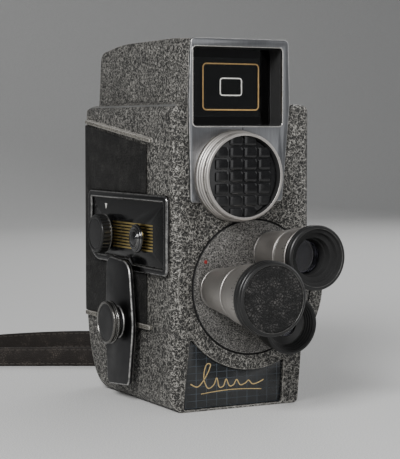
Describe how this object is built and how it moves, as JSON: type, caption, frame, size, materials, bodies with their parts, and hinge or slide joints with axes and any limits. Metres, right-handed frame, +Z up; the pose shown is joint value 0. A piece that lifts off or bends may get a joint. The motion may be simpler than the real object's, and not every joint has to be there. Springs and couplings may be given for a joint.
{
  "type": "cine camera",
  "caption": "Spring-driven magazine cine camera with a lens turret, photocell ring, finder tower and side winding key.",
  "frame": {"origin": "mouth of the tripod socket in the middle of the base", "axes": "+Z up, -Y towards the lenses, +X to the door side"},
  "size_m": [0.1272, 0.2672, 0.1659],
  "materials": {
    "painted": "crackle lacquer",
    "leather": "grained leather cloth",
    "satin": "satin anodised",
    "chrome": "polished",
    "bezelmetal": "brushed",
    "blackmetal": "black enamel",
    "blackplastic": "matt black",
    "glossblack": "gloss lacquer",
    "gold": "gold line",
    "glass": "clear",
    "cell": "selenium",
    "frameink": "printed line",
    "steel": "machined",
    "springsteel": "blued",
    "brass": "machined",
    "strapleather": "smooth strap",
    "castalu": "as cast",
    "magmetal": "satin"
  },
  "bodies": {
    "camera": {"body_shell": "painted", "door_hinge_pin": "steel", "leather_skin_body": "leather", "lower_side_trim": "chrome", "finder_tower": "painted", "window_liner": "blackplastic", "finder_front_glass": "glass", "finder_frame_lines": "frameink", "eyepiece_ring": "blackplastic", "eyepiece_lens": "glass", "front_bezel": "bezelmetal", "photocell_collar": "satin", "photocell_lens": "glass", "selenium_cell": "cell", "meter_case": "steel", "nameplate": "glossblack", "panel_rim": "chrome", "control_plate": "glossblack", "control_stripes": "gold", "button_spring": "springsteel", "chassis_plate": "castalu", "film_gate": "steel", "film_magazine": "magmetal", "magazine_spring": "springsteel", "counter_window": "glass", "tripod_bush": "steel", "strap_stud": "chrome", "wrist_strap": "strapleather"},
    "turret": {"turret_disc": "painted", "turret_retainer": "steel", "long_lens_barrel": "satin", "long_lens_cell": "blackmetal", "standard_lens_barrel": "satin", "standard_lens_cell": "blackmetal", "wide_lens_barrel": "satin", "wide_lens_hood": "blackmetal", "lens_elements": "glass"},
    "long_focus": {"long_lens_focus_ring": "satin"},
    "standard_focus": {"standard_lens_focus_ring": "satin"},
    "cap": {"lens_cap": "blackplastic", "lens_cap_face": "leather"},
    "cell_ring": {"photocell_ring": "satin"},
    "dial": {"speed_dial": "blackmetal"},
    "button": {"run_button": "chrome"},
    "key": {"winding_key": "blackmetal", "key_hub_cap": "chrome", "winding_arbor": "steel"},
    "barrel": {"spring_barrel": "steel", "mainspring": "springsteel", "drive_wheel": "brass"},
    "lay": {"lay_arbor": "brass"},
    "shutter": {"shutter_shaft": "steel", "shutter_disc": "blackmetal", "governor": "brass"},
    "claw": {"film_claw": "steel"},
    "meter": {"meter_coil": "brass"},
    "door": {"magazine_door": "painted", "leather_skin_door": "leather"},
    "latch": {"door_latch": "chrome"},
    "counter": {"counter_dial": "blackplastic"}
  },
  "joints": [
    {"name": "turret_spin", "type": "hinge", "parent": "camera", "child": "turret", "pos_m": [0.0045, -0.05, 0.0545], "axis": [0, 1, 0], "continuous": true},
    {"name": "long_lens_focus", "type": "hinge", "parent": "turret", "child": "long_focus", "pos_m": [-0.0135, -0.085, 0.0545], "axis": [0, 1, 0], "range_deg": [0, 300]},
    {"name": "standard_lens_focus", "type": "hinge", "parent": "turret", "child": "standard_focus", "pos_m": [0.0135, -0.08, 0.07009], "axis": [0, 1, 0], "range_deg": [0, 300]},
    {"name": "cap_pull", "type": "slide", "parent": "turret", "child": "cap", "axis": [0, -1, 0], "range_m": [0, 0.03]},
    {"name": "film_speed_ring", "type": "hinge", "parent": "camera", "child": "cell_ring", "pos_m": [-0.0053, -0.058, 0.1045], "axis": [0, 1, 0], "range_deg": [-75, 75]},
    {"name": "speed_dial_turn", "type": "hinge", "parent": "camera", "child": "dial", "pos_m": [-0.04, 0.017, 0.076], "axis": [1, 0, 0], "range_deg": [-120, 120]},
    {"name": "run_button_press", "type": "slide", "parent": "camera", "child": "button", "axis": [1, 0, 0], "range_m": [0, 0.0012], "stiffness_N_per_m": 300, "deforming": ["button_spring"]},
    {"name": "key_wind", "type": "hinge", "parent": "camera", "child": "key", "pos_m": [-0.04, -0.0065, 0.0367], "axis": [1, 0, 0], "continuous": true},
    {"name": "barrel_spin", "type": "hinge", "parent": "camera", "child": "barrel", "pos_m": [-0.02, -0.0065, 0.0367], "axis": [1, 0, 0], "continuous": true},
    {"name": "lay_spin", "type": "hinge", "parent": "camera", "child": "lay", "pos_m": [-0.015, -0.01413, 0.0727], "axis": [1, 0, 0], "continuous": true},
    {"name": "shutter_spin", "type": "hinge", "parent": "camera", "child": "shutter", "pos_m": [-0.006, -0.041, 0.0727], "axis": [0, 1, 0], "continuous": true},
    {"name": "claw_stroke", "type": "slide", "parent": "camera", "child": "claw", "axis": [0, 0, 1], "range_m": [0, 0.0038]},
    {"name": "meter_swing", "type": "hinge", "parent": "camera", "child": "meter", "pos_m": [-0.017, -0.034, 0.11], "axis": [0, 1, 0], "range_deg": [0, 60], "stiffness_Nm_per_rad": 0.0002},
    {"name": "door_swing", "type": "hinge", "parent": "camera", "child": "door", "pos_m": [0.0369, 0.041, 0.074], "axis": [0, 0, 1], "range_deg": [0, 110]},
    {"name": "latch_turn", "type": "hinge", "parent": "door", "child": "latch", "pos_m": [0.038, -0.028, 0.096], "axis": [1, 0, 0], "range_deg": [0, 90]},
    {"name": "counter_turn", "type": "hinge", "parent": "camera", "child": "counter", "pos_m": [-0.012, 0.044, 0.084], "axis": [0, 1, 0], "range_deg": [0, 330]}
  ],
  "couplings": [
    {"joint": "lay_spin", "follows": "barrel_spin", "ratio": -3.6},
    {"joint": "shutter_spin", "follows": "barrel_spin", "ratio": 14.4}
  ]
}
